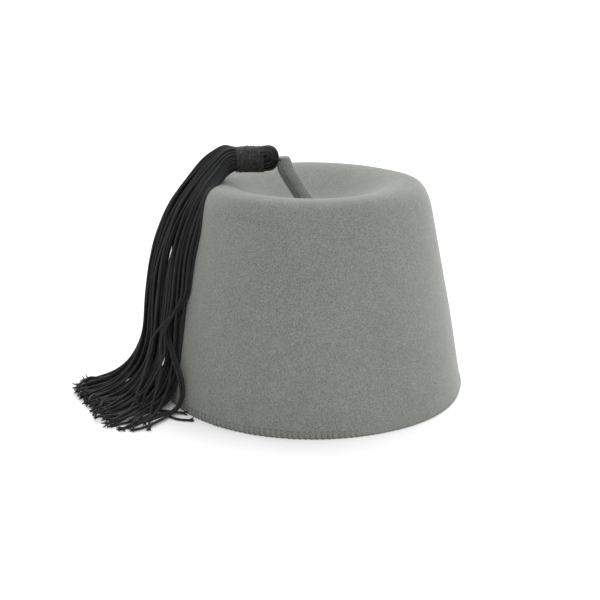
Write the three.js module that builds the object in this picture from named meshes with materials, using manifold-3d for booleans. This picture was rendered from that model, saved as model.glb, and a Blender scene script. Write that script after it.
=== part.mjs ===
// A felt fez with a tied cord tassel, standing on its rim, in millimetres, +Z up.
// The origin is the centre of the head opening, level with the surface the rim stands on.
// The front of the hat faces -Y and the tassel hangs over its -X side.
import * as THREE from 'three';
import { mergeVertices } from 'three/addons/utils/BufferGeometryUtils.js';
import Module from 'manifold-3d';

const wasm = await Module();
wasm.setup();

// Driving dimensions of the felt crown
const feltThickness = 3;
const baseHalfWidth = 88;
const depthOverWidthAtBase = 1.15;
const depthOverWidthAtCrest = 1.106;
const shoulderHalfWidth = 68.4;
const shoulderHeight = 98;
const crestHalfWidth = 54;
const crestHeight = 118;
const dishDepth = 18;

// Driving dimensions of the felt stalk in the middle of the dish
const stalkLean = THREE.MathUtils.degToRad(31);
const stalkLength = 33;
const stalkFootRadius = 5.2;
const stalkTipRadius = 4.5;

// Driving dimensions of the tassel's tied head, whose axis lies along X
const headAxisHeight = 130;
const headRadius = 7.2;
const boundRadius = 6.5;
const loopEyeX = -26.6;
const bindingLength = 16.4;
const bindingOuterRadius = 7.35;

// Driving dimensions of the tassel's skirt and of the cord that ties it on
const skirtLength = 186;
const ringLocks = 11;
const coreLocks = 5;
const lockRadius = 3.4;
const tieCordRadius = 0.6;

// The clearance that touching pieces keep
const gap = 0.3;

// Mesh helpers

// Joins closed rings of points into one closed body, with a point at each end or as an endless loop.
function loft(rings, startPoint, endPoint) {
  const sides = rings[0].length;
  const positions = [];
  const faces = [];
  const push = (point) => {
    positions.push(point.x, point.y, point.z);
    return positions.length / 3 - 1;
  };
  const index = rings.map((ring) => ring.map(push));
  const endless = !startPoint;
  const spans = endless ? rings.length : rings.length - 1;
  for (let row = 0; row < spans; row += 1) {
    const lower = index[row];
    const upper = index[(row + 1) % rings.length];
    for (let side = 0; side < sides; side += 1) {
      const next = (side + 1) % sides;
      faces.push(lower[side], lower[next], upper[next]);
      faces.push(lower[side], upper[next], upper[side]);
    }
  }
  if (!endless) {
    const start = push(startPoint);
    const end = push(endPoint);
    const first = index[0];
    const last = index[rings.length - 1];
    for (let side = 0; side < sides; side += 1) {
      const next = (side + 1) % sides;
      faces.push(start, first[next], first[side]);
      faces.push(end, last[side], last[next]);
    }
  }
  const geometry = new THREE.BufferGeometry();
  geometry.setAttribute('position', new THREE.Float32BufferAttribute(positions, 3));
  geometry.setIndex(faces);
  if (signedVolume(geometry) < 0) {
    geometry.setIndex(faces.reverse());
  }
  return geometry;
}

function signedVolume(geometry) {
  const position = geometry.attributes.position;
  const index = geometry.index.array;
  const [a, b, c] = [new THREE.Vector3(), new THREE.Vector3(), new THREE.Vector3()];
  let volume = 0;
  for (let corner = 0; corner < index.length; corner += 3) {
    a.fromBufferAttribute(position, index[corner]);
    b.fromBufferAttribute(position, index[corner + 1]);
    c.fromBufferAttribute(position, index[corner + 2]);
    volume += a.dot(b.cross(c)) / 6;
  }
  return volume;
}

function toSolid(geometry) {
  const bare = geometry.clone();
  bare.deleteAttribute('normal');
  bare.deleteAttribute('uv');
  const merged = mergeVertices(bare, 1e-4);
  const vertProperties = new Float32Array(merged.attributes.position.array);
  const triVerts = new Uint32Array(merged.index.array);
  return new wasm.Manifold(new wasm.Mesh({ numProp: 3, vertProperties, triVerts }));
}

function toGeometry(solid) {
  const mesh = solid.getMesh();
  const geometry = new THREE.BufferGeometry();
  geometry.setAttribute('position', new THREE.Float32BufferAttribute(mesh.vertProperties, 3));
  geometry.setIndex(new THREE.Uint32BufferAttribute(mesh.triVerts, 1));
  return geometry;
}

// Keeps the outer body of a join and drops the small hollows shut in between its members.
function largestBody(solid) {
  const bodies = solid.decompose();
  return bodies.reduce((best, body) => (body.volume() > best.volume() ? body : best));
}

// Rings of a round tube along a list of points, turned as little as possible from ring to ring.
function tubeRings(points, radii, sides, startSide) {
  const rings = [];
  const side = startSide.clone();
  const tangent = new THREE.Vector3();
  points.forEach((point, step) => {
    const before = points[Math.max(step - 1, 0)];
    const after = points[Math.min(step + 1, points.length - 1)];
    tangent.subVectors(after, before).normalize();
    side.addScaledVector(tangent, -side.dot(tangent)).normalize();
    const across = new THREE.Vector3().crossVectors(tangent, side);
    const ring = [];
    for (let corner = 0; corner < sides; corner += 1) {
      const turn = (2 * Math.PI * corner) / sides;
      const reach = side.clone().multiplyScalar(Math.cos(turn) * radii[step]);
      reach.addScaledVector(across, Math.sin(turn) * radii[step]);
      ring.push(point.clone().add(reach));
    }
    rings.push(ring);
  });
  return rings;
}

// Crown: one hollow felt shell with straight leaning sides, a round shoulder and a dished top

const sideBulge = new THREE.Vector2(79, 50);
const shoulderStart = new THREE.Vector2(shoulderHalfWidth, shoulderHeight);
const shoulderLean = shoulderStart.clone().sub(sideBulge).normalize();
const shoulderFullness = 12.5;
const crestFullness = 9;
const crest = new THREE.Vector2(crestHalfWidth, crestHeight);
const dishFloor = new THREE.Vector2(0, crestHeight - dishDepth);
const dishBrow = new THREE.Vector2(crestHalfWidth - 16, crestHeight);
const dishRun = new THREE.Vector2(24, crestHeight - dishDepth);

const sideCurve = new THREE.QuadraticBezierCurve(new THREE.Vector2(baseHalfWidth, 0), sideBulge, shoulderStart);
const shoulderCurve = new THREE.CubicBezierCurve(
  shoulderStart,
  shoulderStart.clone().addScaledVector(shoulderLean, shoulderFullness),
  new THREE.Vector2(crestHalfWidth + crestFullness, crestHeight),
  crest,
);
const dishCurve = new THREE.CubicBezierCurve(crest, dishBrow, dishRun, dishFloor);

const crownSegments = 52;
const crownProfile = [
  { curve: sideCurve, rows: 5, zone: 'side' },
  { curve: shoulderCurve, rows: 5, zone: 'side' },
  { curve: dishCurve, rows: 8, zone: 'dish' },
];

// The felt's outer surface at one point of a profile curve and one angle round the hat
function feltPoint(curve, zone, along, angle) {
  const point = curve.getPoint(along);
  const height = zone === 'dish' ? crestHeight : point.y;
  const ratio = THREE.MathUtils.lerp(depthOverWidthAtBase, depthOverWidthAtCrest, height / crestHeight);
  return new THREE.Vector3(point.x * Math.cos(angle), point.x * ratio * Math.sin(angle), point.y);
}

function feltNormal(curve, zone, along, angle) {
  const step = 1e-3;
  const low = Math.max(along - step, 0);
  const high = Math.min(along + step, 1);
  const up = feltPoint(curve, zone, high, angle).sub(feltPoint(curve, zone, low, angle));
  const round = feltPoint(curve, zone, along, angle + step).sub(feltPoint(curve, zone, along, angle - step));
  return round.cross(up).normalize();
}

// A ring of the crown moved out of the felt's surface by an offset, or into the felt when negative
function crownRing(curve, zone, along, offset) {
  const ring = [];
  for (let segment = 0; segment < crownSegments; segment += 1) {
    const angle = (2 * Math.PI * segment) / crownSegments;
    const normal = feltNormal(curve, zone, along, angle);
    const point = feltPoint(curve, zone, along, angle);
    if (point.z === 0) {
      normal.setZ(0).normalize();
    }
    ring.push(point.addScaledVector(normal, offset));
  }
  return ring;
}

function crownRings(offset) {
  const rings = [crownRing(sideCurve, 'side', 0, offset)];
  crownProfile.forEach(({ curve, rows, zone }) => {
    const lastRow = zone === 'dish' ? rows - 1 : rows;
    for (let row = 1; row <= lastRow; row += 1) {
      rings.push(crownRing(curve, zone, row / rows, offset));
    }
  });
  return rings;
}

function dishCentre(offset) {
  return new THREE.Vector3(0, 0, dishFloor.y + offset);
}

function buildCrown() {
  const inside = crownRings(-feltThickness).reverse();
  const outside = crownRings(0);
  return loft([...inside, ...outside], dishCentre(-feltThickness), dishCentre(0));
}

// The space that the crown and its clearance take, filled right through, for trimming the tassel
function buildCrownSpace() {
  const below = 2;
  const rings = crownRings(gap);
  const foot = rings[0].map((point) => point.clone().setZ(-below));
  return loft([foot, ...rings], new THREE.Vector3(0, 0, -below), dishCentre(gap));
}

// Stalk: a roll of felt that stands in the dish and leans towards the tassel

const stalkDirection = new THREE.Vector3(-Math.sin(stalkLean), 0, Math.cos(stalkLean));
const stalkAcross = new THREE.Vector3(Math.cos(stalkLean), 0, Math.sin(stalkLean));
const stalkFoot = new THREE.Vector3(0.8, 0, dishFloor.y);
const stalkSides = 16;

// Sections of the stalk from foot to tip: the tip is rounded over and pinched flat front to back
const stalkSections = [
  { along: 0.3 * stalkLength, radius: 4.95, pinch: 1 },
  { along: 0.65 * stalkLength, radius: 4.7, pinch: 1 },
  { along: 0.86 * stalkLength, radius: stalkTipRadius, pinch: 0.95 },
  { along: stalkLength, radius: 4.1, pinch: 0.88 },
  { along: stalkLength + 1.7, radius: 3.1, pinch: 0.8 },
  { along: stalkLength + 2.5, radius: 1.6, pinch: 0.75 },
];

function stalkOffset(radius, pinch, turn) {
  const reach = stalkAcross.clone().multiplyScalar(radius * Math.cos(turn));
  return reach.setY(radius * pinch * Math.sin(turn));
}

// The stalk's lowest ring follows the floor of the dish, a gap above it.
function stalkFootRing() {
  const ring = [];
  for (let side = 0; side < stalkSides; side += 1) {
    const point = stalkOffset(stalkFootRadius, 1, (2 * Math.PI * side) / stalkSides).add(stalkFoot);
    const rise = dishFloor.y + 2 * gap - point.z;
    ring.push(point.addScaledVector(stalkDirection, rise / stalkDirection.z));
  }
  return ring;
}

function buildStalk() {
  const rings = stalkSections.map(({ along, radius, pinch }) => {
    const centre = stalkFoot.clone().addScaledVector(stalkDirection, along);
    const ring = [];
    for (let side = 0; side < stalkSides; side += 1) {
      ring.push(stalkOffset(radius, pinch, (2 * Math.PI * side) / stalkSides).add(centre));
    }
    return ring;
  });
  const footCentre = new THREE.Vector3(stalkFoot.x, 0, dishFloor.y + 2 * gap);
  const tip = stalkFoot.clone().addScaledVector(stalkDirection, stalkLength + 2.8);
  return loft([stalkFootRing(), ...rings], footCentre, tip);
}

// Tie cord: a closed loop through the eye of the tassel's loops and a hole in the stalk's tip

const tieHole = stalkFoot.clone().addScaledVector(stalkDirection, stalkLength - 0.9);
const tieEye = new THREE.Vector3(loopEyeX + 0.8, 0, headAxisHeight);
const tieHeadHalf = headRadius + 1.4;
const tieStalkHalf = stalkTipRadius + 1.2;

// Corners of the loop seen from above, as places on the way from the eye to the hole
const tieCorners = [
  { along: 0, y: -0.6 * tieHeadHalf },
  { along: 0.06, y: -0.95 * tieHeadHalf },
  { along: 0.3, y: -tieHeadHalf },
  { along: 0.75, y: -tieStalkHalf - 1 },
  { along: 0.96, y: -tieStalkHalf },
  { along: 1, y: -0.6 * tieStalkHalf },
];

function tiePath() {
  const near = tieCorners.map(({ along, y }) => new THREE.Vector3().lerpVectors(tieEye, tieHole, along).setY(y));
  const far = near.map((point) => point.clone().setY(-point.y)).reverse();
  return new THREE.CatmullRomCurve3([...near, ...far], true, 'centripetal');
}

function buildTie(radius) {
  const steps = 48;
  const sides = 8;
  const points = tiePath().getSpacedPoints(steps).slice(0, steps);
  const up = new THREE.Vector3(0, 0, 1);
  const rings = points.map((point, step) => {
    const after = points[(step + 1) % steps];
    const before = points[(step + steps - 1) % steps];
    const tangent = new THREE.Vector3().subVectors(after, before).normalize();
    const across = new THREE.Vector3().crossVectors(tangent, up).normalize();
    const rise = new THREE.Vector3().crossVectors(across, tangent);
    const ring = [];
    for (let side = 0; side < sides; side += 1) {
      const turn = (2 * Math.PI * side) / sides;
      const reach = across.clone().multiplyScalar(radius * Math.cos(turn));
      ring.push(reach.addScaledVector(rise, radius * Math.sin(turn)).add(point));
    }
    return ring;
  });
  return loft(rings);
}

// Tassel head: cords doubled over the tie cord, then gathered to a round bundle under the binding

const bindingRight = loopEyeX - 1.1;
const bindingLeft = bindingRight - bindingLength;

// Sections of the head along X: half height in the plane of the loops, half depth front to back
function headSections() {
  const sections = [];
  [74, 52, 28, 6].forEach((degrees) => {
    const turn = THREE.MathUtils.degToRad(degrees);
    const halfHeight = headRadius * Math.cos(turn);
    const halfDepth = headRadius * Math.sqrt(Math.cos(turn));
    sections.push({ x: loopEyeX + headRadius * Math.sin(turn), halfHeight, halfDepth });
  });
  sections.push({ x: bindingRight + 2 * gap, halfHeight: headRadius, halfDepth: headRadius });
  sections.push({ x: bindingRight + gap, halfHeight: boundRadius, halfDepth: boundRadius });
  sections.push({ x: bindingLeft - gap, halfHeight: boundRadius, halfDepth: boundRadius });
  sections.push({ x: bindingLeft - 3.5, halfHeight: boundRadius, halfDepth: boundRadius });
  return sections;
}

function buildHead() {
  const sides = 20;
  const rings = headSections().map(({ x, halfHeight, halfDepth }) => {
    const ring = [];
    for (let side = 0; side < sides; side += 1) {
      const turn = (2 * Math.PI * side) / sides;
      ring.push(new THREE.Vector3(x, halfDepth * Math.cos(turn), headAxisHeight + halfHeight * Math.sin(turn)));
    }
    return ring;
  });
  const tip = new THREE.Vector3(loopEyeX + headRadius, 0, headAxisHeight);
  const back = new THREE.Vector3(bindingLeft - 5, 0, headAxisHeight);
  return loft(rings, tip, back);
}

// Tassel skirt: locks of cord that arch over the shoulder, hang beside the felt and fan out where they land

// Sections down the skirt: its middle, its half width seen from the front, its half depth,
// and how far its inner edge stands in front of the middle, where it lies on the felt
const skirtSections = [
  { x: bindingLeft - 2 * gap, y: 0, z: headAxisHeight, half: 6.2, depth: 6.2, lean: 0 },
  { x: -53.5, y: -2, z: 127.6, half: 8.8, depth: 8, lean: 1.5 },
  { x: -64.5, y: -9.5, z: 118.6, half: 8.2, depth: 8.5, lean: 6 },
  { x: -73, y: -17.5, z: 102.4, half: 10.9, depth: 9, lean: 10 },
  { x: -79, y: -24, z: 79.7, half: 13.8, depth: 9, lean: 11.5 },
  { x: -82.6, y: -28.5, z: 56.8, half: 14.3, depth: 9.5, lean: 12 },
  { x: -85.4, y: -32, z: 34, half: 13.8, depth: 10, lean: 12.5 },
];

const skirtMiddle = new THREE.CatmullRomCurve3(
  skirtSections.map(({ x, y, z }) => new THREE.Vector3(x, y, z)),
  false,
  'catmullrom',
);
const skirtSpread = new THREE.CatmullRomCurve3(
  skirtSections.map(({ half, depth, lean }) => new THREE.Vector3(half, depth, lean)),
  false,
  'catmullrom',
);

// Where a lock lands it turns away from the felt: left for outer locks, forwards for inner ones.
const fanMiddle = 213;
const fanByWidth = 48;
const fanByDepth = 18;
const landingReach = 28;

// The middle line of a lock: width runs from -1 at the outer edge to 1 at the felt,
// and depth from -1 at the front to 1 at the back.
function lockPath(width, depth) {
  const points = [];
  const hangingSteps = 12;
  for (let step = 0; step <= hangingSteps; step += 1) {
    const along = step / hangingSteps;
    const spread = skirtSpread.getPoint(along);
    const tangent = skirtMiddle.getTangent(along);
    const inward = new THREE.Vector3(-tangent.z, 0, tangent.x).normalize();
    const point = skirtMiddle.getPoint(along).addScaledVector(inward, width * spread.x);
    point.y += depth * spread.y - width * spread.z;
    points.push(point);
  }
  const heading = THREE.MathUtils.degToRad(fanMiddle + fanByWidth * width - fanByDepth * depth);
  const outward = new THREE.Vector3(Math.cos(heading), Math.sin(heading), 0);
  const last = points[points.length - 1];
  const bedHeight = lockRadius + gap;
  const landingSteps = 5;
  for (let step = 1; step <= landingSteps; step += 1) {
    const turn = (0.5 * Math.PI * step) / landingSteps;
    const point = last.clone().addScaledVector(outward, landingReach * (1 - Math.cos(turn)));
    point.z = bedHeight + (last.z - bedHeight) * (1 - Math.sin(turn));
    points.push(point);
  }
  const used = points.slice(1).reduce((sum, point, step) => sum + point.distanceTo(points[step]), 0);
  const run = Math.max(skirtLength - used, 6);
  const landed = points[points.length - 1];
  [0.5, 1].forEach((share) => points.push(landed.clone().addScaledVector(outward, run * share)));
  return points;
}

// A lock is thin where it leaves the binding, full while it hangs and thinner again at its end.
function lockRadii(points) {
  const neckRadius = 1.9;
  const endRadius = 2.8;
  const lastStep = points.length - 1;
  return points.map((point, step) => {
    const fromNeck = Math.min(step / 4, 1);
    const fromEnd = Math.min((lastStep - step) / 2, 1);
    const full = THREE.MathUtils.lerp(neckRadius, lockRadius, fromNeck);
    return THREE.MathUtils.lerp(endRadius, full, fromEnd);
  });
}

function buildLock(width, depth) {
  const points = lockPath(width, depth);
  const radii = lockRadii(points);
  points.forEach((point, step) => {
    if (point.z < radii[step] + gap || step > points.length - 3) {
      point.z = radii[step] + gap;
    }
  });
  const rings = tubeRings(points, radii, 6, new THREE.Vector3(0, 1, 0));
  return loft(rings, points[0], points[points.length - 1]);
}

function lockPlaces() {
  const places = [];
  const add = (count, radius, startTurn) => {
    for (let lock = 0; lock < count; lock += 1) {
      const turn = startTurn + (2 * Math.PI * lock) / count;
      places.push({ width: radius * Math.cos(turn), depth: radius * Math.sin(turn) });
    }
  };
  add(ringLocks, 0.76, Math.PI);
  add(coreLocks, 0.36, 0);
  return places;
}

// Binding: thread wound round the head in close turns, as one thin sleeve with softened ends.
// A clearance gives the space that the sleeve and its gap take instead.
function buildBinding(clearance) {
  const inner = boundRadius + gap - clearance;
  const outer = bindingOuterRadius + clearance;
  const half = bindingLength / 2 + clearance;
  const soft = 0.2;
  const outline = [
    new THREE.Vector2(inner, -half),
    new THREE.Vector2(outer - soft, -half),
    new THREE.Vector2(outer, -half + soft),
    new THREE.Vector2(outer, half - soft),
    new THREE.Vector2(outer - soft, half),
    new THREE.Vector2(inner, half),
    new THREE.Vector2(inner, -half),
  ];
  const geometry = new THREE.LatheGeometry(outline, 32);
  geometry.rotateZ(Math.PI / 2);
  return geometry.translate(bindingRight - bindingLength / 2, 0, headAxisHeight);
}

function buildTassel() {
  let solid = toSolid(buildHead());
  lockPlaces().forEach(({ width, depth }) => {
    solid = solid.add(toSolid(buildLock(width, depth)));
  });
  solid = solid.subtract(toSolid(buildCrownSpace()));
  solid = solid.subtract(toSolid(buildTie(tieCordRadius + gap)));
  solid = solid.subtract(toSolid(buildBinding(0.9 * gap)));
  return toGeometry(largestBody(solid));
}

// Materials and assembly

const felt = new THREE.MeshStandardMaterial({ color: 0x7c7e79, roughness: 1, metalness: 0 });
const cord = new THREE.MeshStandardMaterial({ color: 0x1f2021, roughness: 0.6, metalness: 0 });
const thread = new THREE.MeshStandardMaterial({ color: 0x2b2c2d, roughness: 0.5, metalness: 0 });

const stalkGeometry = toGeometry(toSolid(buildStalk()).subtract(toSolid(buildTie(tieCordRadius + gap))));

const pieces = [
  { name: 'crown', geometry: buildCrown(), material: felt },
  { name: 'stalk', geometry: stalkGeometry, material: felt },
  { name: 'tassel', geometry: buildTassel(), material: cord },
  { name: 'tassel_binding', geometry: buildBinding(0), material: thread },
  { name: 'tie_cord', geometry: buildTie(tieCordRadius), material: cord },
];

const fez = new THREE.Group();
pieces.forEach(({ name, geometry, material }) => {
  const mesh = new THREE.Mesh(geometry, material.clone());
  mesh.name = name;
  fez.add(mesh);
});

export default fez;
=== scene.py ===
# %% [markdown]
# A felt fez with a long cord tassel, dressed in Blender
#
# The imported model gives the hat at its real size: a felt crown, a rolled felt stalk, a tassel, the
# thread bound round its head and the cord that ties it on. Here each of them gets its finished
# surface. The hat's front faces -Y, the tassel hangs over its -X side, and every size is in metres.
# Sizes that a maker would give in millimetres are written times MM.

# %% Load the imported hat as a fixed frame
import math

import bpy
import numpy as np
from mathutils import Matrix, Vector


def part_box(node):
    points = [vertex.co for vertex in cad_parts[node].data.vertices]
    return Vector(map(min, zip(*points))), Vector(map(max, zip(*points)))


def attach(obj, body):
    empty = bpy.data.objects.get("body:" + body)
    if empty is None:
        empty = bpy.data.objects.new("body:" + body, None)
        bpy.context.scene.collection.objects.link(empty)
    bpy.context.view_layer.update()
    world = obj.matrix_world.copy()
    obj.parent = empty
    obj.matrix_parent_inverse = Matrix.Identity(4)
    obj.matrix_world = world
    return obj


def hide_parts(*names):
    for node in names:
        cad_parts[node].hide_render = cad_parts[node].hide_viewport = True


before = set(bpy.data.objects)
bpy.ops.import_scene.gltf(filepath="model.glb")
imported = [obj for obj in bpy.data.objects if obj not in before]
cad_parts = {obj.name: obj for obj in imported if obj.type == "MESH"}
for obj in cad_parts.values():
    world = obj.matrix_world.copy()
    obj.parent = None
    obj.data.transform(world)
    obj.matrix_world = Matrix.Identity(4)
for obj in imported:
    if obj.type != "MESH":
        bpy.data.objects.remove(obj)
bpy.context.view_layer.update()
MM = 0.001
print("packed nodes:", sorted(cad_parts))

# %% [markdown]
# The camera comes first. A hat on a table is photographed from a little above, with a short
# telephoto lens, so that the oval rim shows as a gentle curve and the dish just opens.

# %% Camera
CAMERA_DISTANCE = 0.678
CAMERA_HEIGHT = 0.236
CAMERA_SIDE = -0.0068
CAMERA_PITCH = math.radians(15.6)

bpy.ops.object.camera_add(
    location=(CAMERA_SIDE, -CAMERA_DISTANCE, CAMERA_HEIGHT),
    rotation=(math.pi / 2 - CAMERA_PITCH, 0, 0),
)
camera = bpy.context.object
camera.name = "camera"
camera.data.lens = 72
camera.data.sensor_width = 36
camera.data.clip_start = 0.01
bpy.context.scene.camera = camera
print("camera at", tuple(round(c, 3) for c in camera.location))

# %% [markdown]
# Small helpers. An operator acts on everything that is selected, and a freshly loaded model is
# selected all over, so each step first selects just what it works on. A finished piece is shaded
# smooth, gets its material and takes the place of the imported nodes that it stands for.


# %% Selecting and finishing
def select_only(thing):
    bpy.ops.object.select_all(action="DESELECT")
    thing.select_set(True)
    bpy.context.view_layer.objects.active = thing


def clear_selection(thing, kind):
    """Leaves nothing of a mesh selected, ready for its vertices or edges to be picked in code."""
    select_only(thing)
    bpy.ops.object.mode_set(mode="EDIT")
    bpy.ops.mesh.select_mode(type=kind)
    bpy.ops.mesh.select_all(action="DESELECT")
    bpy.ops.object.mode_set(mode="OBJECT")


def apply_modifiers(thing):
    select_only(thing)
    for modifier in list(thing.modifiers):
        bpy.ops.object.modifier_apply(modifier=modifier.name)


def settle(thing, slot, finish, *nodes, degrees=None):
    """Puts a finished piece, with its material, on the hat's one body in place of its nodes; slot is
    not used.
    """
    select_only(thing)
    if degrees is None:
        bpy.ops.object.shade_smooth()
    else:
        bpy.ops.object.shade_smooth_by_angle(angle=math.radians(degrees))
    bpy.ops.object.transform_apply(location=True, rotation=True, scale=True)
    thing.data.materials.clear()
    thing.data.materials.append(materials[finish])
    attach(thing, "root")
    if nodes:
        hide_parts(*nodes)
    thing.data.calc_loop_triangles()
    print(thing.name, len(thing.data.loop_triangles), "triangles")


# %% [markdown]
# Two effects carry all the finishes, and each is a node group. The first is felt: wool fibres
# pressed into a sheet leave a soft blotchy tone, a grain of fine pale and dark flecks, and a nap
# that breaks up the light. Noise at four scales gives that, in object coordinates, so it stays
# put on the felt. The second is twisted cord, which four materials share with their own values:
# ribs that climb slantwise round the strand, a bump with painted shade in the grooves and painted
# light on the rib tops. It reads the strand's own UV map, where U runs once round and V counts
# millimetres along.


# %% Node helpers
def new_group(name, inputs, outputs):
    group = bpy.data.node_groups.new(name, "ShaderNodeTree")
    for label, kind, default in inputs:
        socket = group.interface.new_socket(name=label, in_out="INPUT", socket_type=kind)
        socket.default_value = default
    for label, kind in outputs:
        group.interface.new_socket(name=label, in_out="OUTPUT", socket_type=kind)
    return group, group.nodes.new("NodeGroupInput"), group.nodes.new("NodeGroupOutput")


def math_node(tree, operation, first, second=None, third=None):
    node = tree.nodes.new("ShaderNodeMath")
    node.operation = operation
    for socket, value in zip(node.inputs, (first, second, third)):
        if value is None:
            continue
        if hasattr(value, "is_output"):
            tree.links.new(value, socket)
        else:
            socket.default_value = value
    return node.outputs[0]


def weighted_sum(tree, *parts):
    """Adds up several values, each times its weight."""
    total = 0.0
    for value, weight in parts:
        total = math_node(tree, "MULTIPLY_ADD", value, weight, total)
    return total


def noise_node(tree, vector, scale, detail, roughness=0.5):
    node = tree.nodes.new("ShaderNodeTexNoise")
    node.inputs["Detail"].default_value = detail
    node.inputs["Roughness"].default_value = roughness
    tree.links.new(vector, node.inputs["Vector"])
    if hasattr(scale, "is_output"):
        tree.links.new(scale, node.inputs["Scale"])
    else:
        node.inputs["Scale"].default_value = scale
    return node.outputs["Fac"]


def tone_node(tree, color, factor):
    """Lightens or darkens a colour by a factor that changes over the surface."""
    node = tree.nodes.new("ShaderNodeVectorMath")
    node.operation = "SCALE"
    tree.links.new(color, node.inputs[0])
    tree.links.new(factor, node.inputs["Scale"])
    return node.outputs[0]


def bump_node(tree, height, strength, distance):
    node = tree.nodes.new("ShaderNodeBump")
    node.inputs["Strength"].default_value = strength
    node.inputs["Distance"].default_value = distance
    tree.links.new(height, node.inputs["Height"])
    return node.outputs["Normal"]


# %% Pressed felt group
# Noise scales for the tone of whole areas, for clouds a few millimetres wide, and for the nap
BLOTCH_SCALE = 28.0
CLOUD_SCALE = 190.0
NAP_SCALE = 2300.0
NAP_STRETCH = 0.35


def build_felt_group():
    group, inside, outside = new_group(
        "pressed_felt",
        [
            ("Color", "NodeSocketColor", (0.2, 0.2, 0.2, 1)),
            ("Blotch", "NodeSocketFloat", 0.1),
            ("Fleck", "NodeSocketFloat", 0.3),
            ("Fibre Scale", "NodeSocketFloat", 1400.0),
        ],
        [("Color", "NodeSocketColor"), ("Height", "NodeSocketFloat")],
    )
    place = group.nodes.new("ShaderNodeTexCoord").outputs["Object"]
    blotch = noise_node(group, place, BLOTCH_SCALE, 3.0)
    cloud = noise_node(group, place, CLOUD_SCALE, 2.0)
    fibre = noise_node(group, place, inside.outputs["Fibre Scale"], 3.0, 0.65)
    stretch = group.nodes.new("ShaderNodeMapping")
    stretch.inputs["Scale"].default_value = (1.0, 1.0, NAP_STRETCH)
    group.links.new(place, stretch.inputs["Vector"])
    nap = noise_node(group, stretch.outputs[0], NAP_SCALE, 1.0, 0.7)

    soft = math_node(group, "SUBTRACT", math_node(group, "ADD", blotch, cloud), 1.0)
    factor = math_node(group, "MULTIPLY_ADD", soft, inside.outputs["Blotch"], 1.0)
    grain = math_node(group, "SUBTRACT", weighted_sum(group, (fibre, 0.6), (nap, 0.4)), 0.5)
    factor = math_node(group, "MULTIPLY_ADD", grain, inside.outputs["Fleck"], factor)
    group.links.new(tone_node(group, inside.outputs["Color"], factor), outside.inputs["Color"])

    height = weighted_sum(group, (fibre, 0.7), (nap, 0.5), (cloud, 0.8))
    group.links.new(height, outside.inputs["Height"])
    return group


felt_group = build_felt_group()
print("node group", felt_group.name)


# %% Twisted cord group
RIB_ROUNDING = 0.6
# The cord's colour is painted darker in the grooves and lighter on the rib tops, as shade and light;
# these two set how much
PAINTED_GROOVE_SHADE = 0.75
PAINTED_RIB_TOP_LIGHT = 0.35


def build_cord_group():
    group, inside, outside = new_group(
        "twisted_cord",
        [
            ("Color", "NodeSocketColor", (0.02, 0.02, 0.02, 1)),
            ("Rib Pitch", "NodeSocketFloat", 0.8),
            ("Ribs Round", "NodeSocketFloat", 2.0),
            ("Fade", "NodeSocketFloat", 0.3),
            ("Wear Scale", "NodeSocketFloat", 120.0),
        ],
        [("Color", "NodeSocketColor"), ("Height", "NodeSocketFloat")],
    )
    strand = group.nodes.new("ShaderNodeUVMap")
    strand.uv_map = "strand"
    split = group.nodes.new("ShaderNodeSeparateXYZ")
    group.links.new(strand.outputs[0], split.inputs[0])
    climb = math_node(group, "DIVIDE", split.outputs["Y"], inside.outputs["Rib Pitch"])
    turn = math_node(group, "MULTIPLY_ADD", split.outputs["X"], inside.outputs["Ribs Round"], climb)
    rib = math_node(group, "SINE", math_node(group, "MULTIPLY", turn, 2 * math.pi))
    rib = math_node(group, "MULTIPLY_ADD", rib, 0.5, 0.5)
    rib = math_node(group, "POWER", rib, RIB_ROUNDING)

    place = group.nodes.new("ShaderNodeTexCoord").outputs["Object"]
    wear = noise_node(group, place, inside.outputs["Wear Scale"], 2.0)
    wear = math_node(group, "SUBTRACT", wear, 0.5)
    # Painted shade and light: the colour follows the ribs, darker in the grooves and lighter on the rib
    # tops
    painted_rib_shade = math_node(group, "MULTIPLY_ADD", rib, PAINTED_RIB_TOP_LIGHT, PAINTED_GROOVE_SHADE)
    factor = math_node(group, "MULTIPLY_ADD", wear, inside.outputs["Fade"], painted_rib_shade)
    group.links.new(tone_node(group, inside.outputs["Color"], factor), outside.inputs["Color"])
    group.links.new(rib, outside.inputs["Height"])
    return group


cord_group = build_cord_group()
print("node group", cord_group.name)

# %% [markdown]
# Felt is almost without gloss, but its loose surface fibres catch light that grazes them, which
# is what the sheen of the Principled shader is for. The cords are spun yarn with a low satin
# gloss. The thread that binds the head is finer and a little brighter, and it has faded in specks.
# The tie cord is finer and darker, and the stitching is yarn of the felt's own grey.

# %% Materials
FELT_GREY = (0.177, 0.185, 0.169, 1)
CORD_BLACK = (0.0125, 0.0130, 0.0133, 1)
THREAD_BLACK = (0.0285, 0.0292, 0.0292, 1)
TIE_BLACK = (0.0080, 0.0082, 0.0085, 1)
STITCH_GREY = (0.135, 0.141, 0.130, 1)
SHEEN_ROUGHNESS = 0.5


def new_material(name, group, values, bump, roughness, sheen, gloss):
    """A shader fed by an effect group; bump is its strength and its depth."""
    material = bpy.data.materials.new(name)
    material.use_nodes = True
    tree = material.node_tree
    shader = tree.nodes["Principled BSDF"]
    effect = tree.nodes.new("ShaderNodeGroup")
    effect.node_tree = group
    for label, value in values.items():
        effect.inputs[label].default_value = value
    tree.links.new(effect.outputs["Color"], shader.inputs["Base Color"])
    tree.links.new(bump_node(tree, effect.outputs["Height"], *bump), shader.inputs["Normal"])
    shader.inputs["Roughness"].default_value = roughness
    shader.inputs["Sheen Weight"].default_value = sheen
    shader.inputs["Sheen Roughness"].default_value = SHEEN_ROUGHNESS
    shader.inputs["Specular IOR Level"].default_value = gloss
    return material


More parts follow.
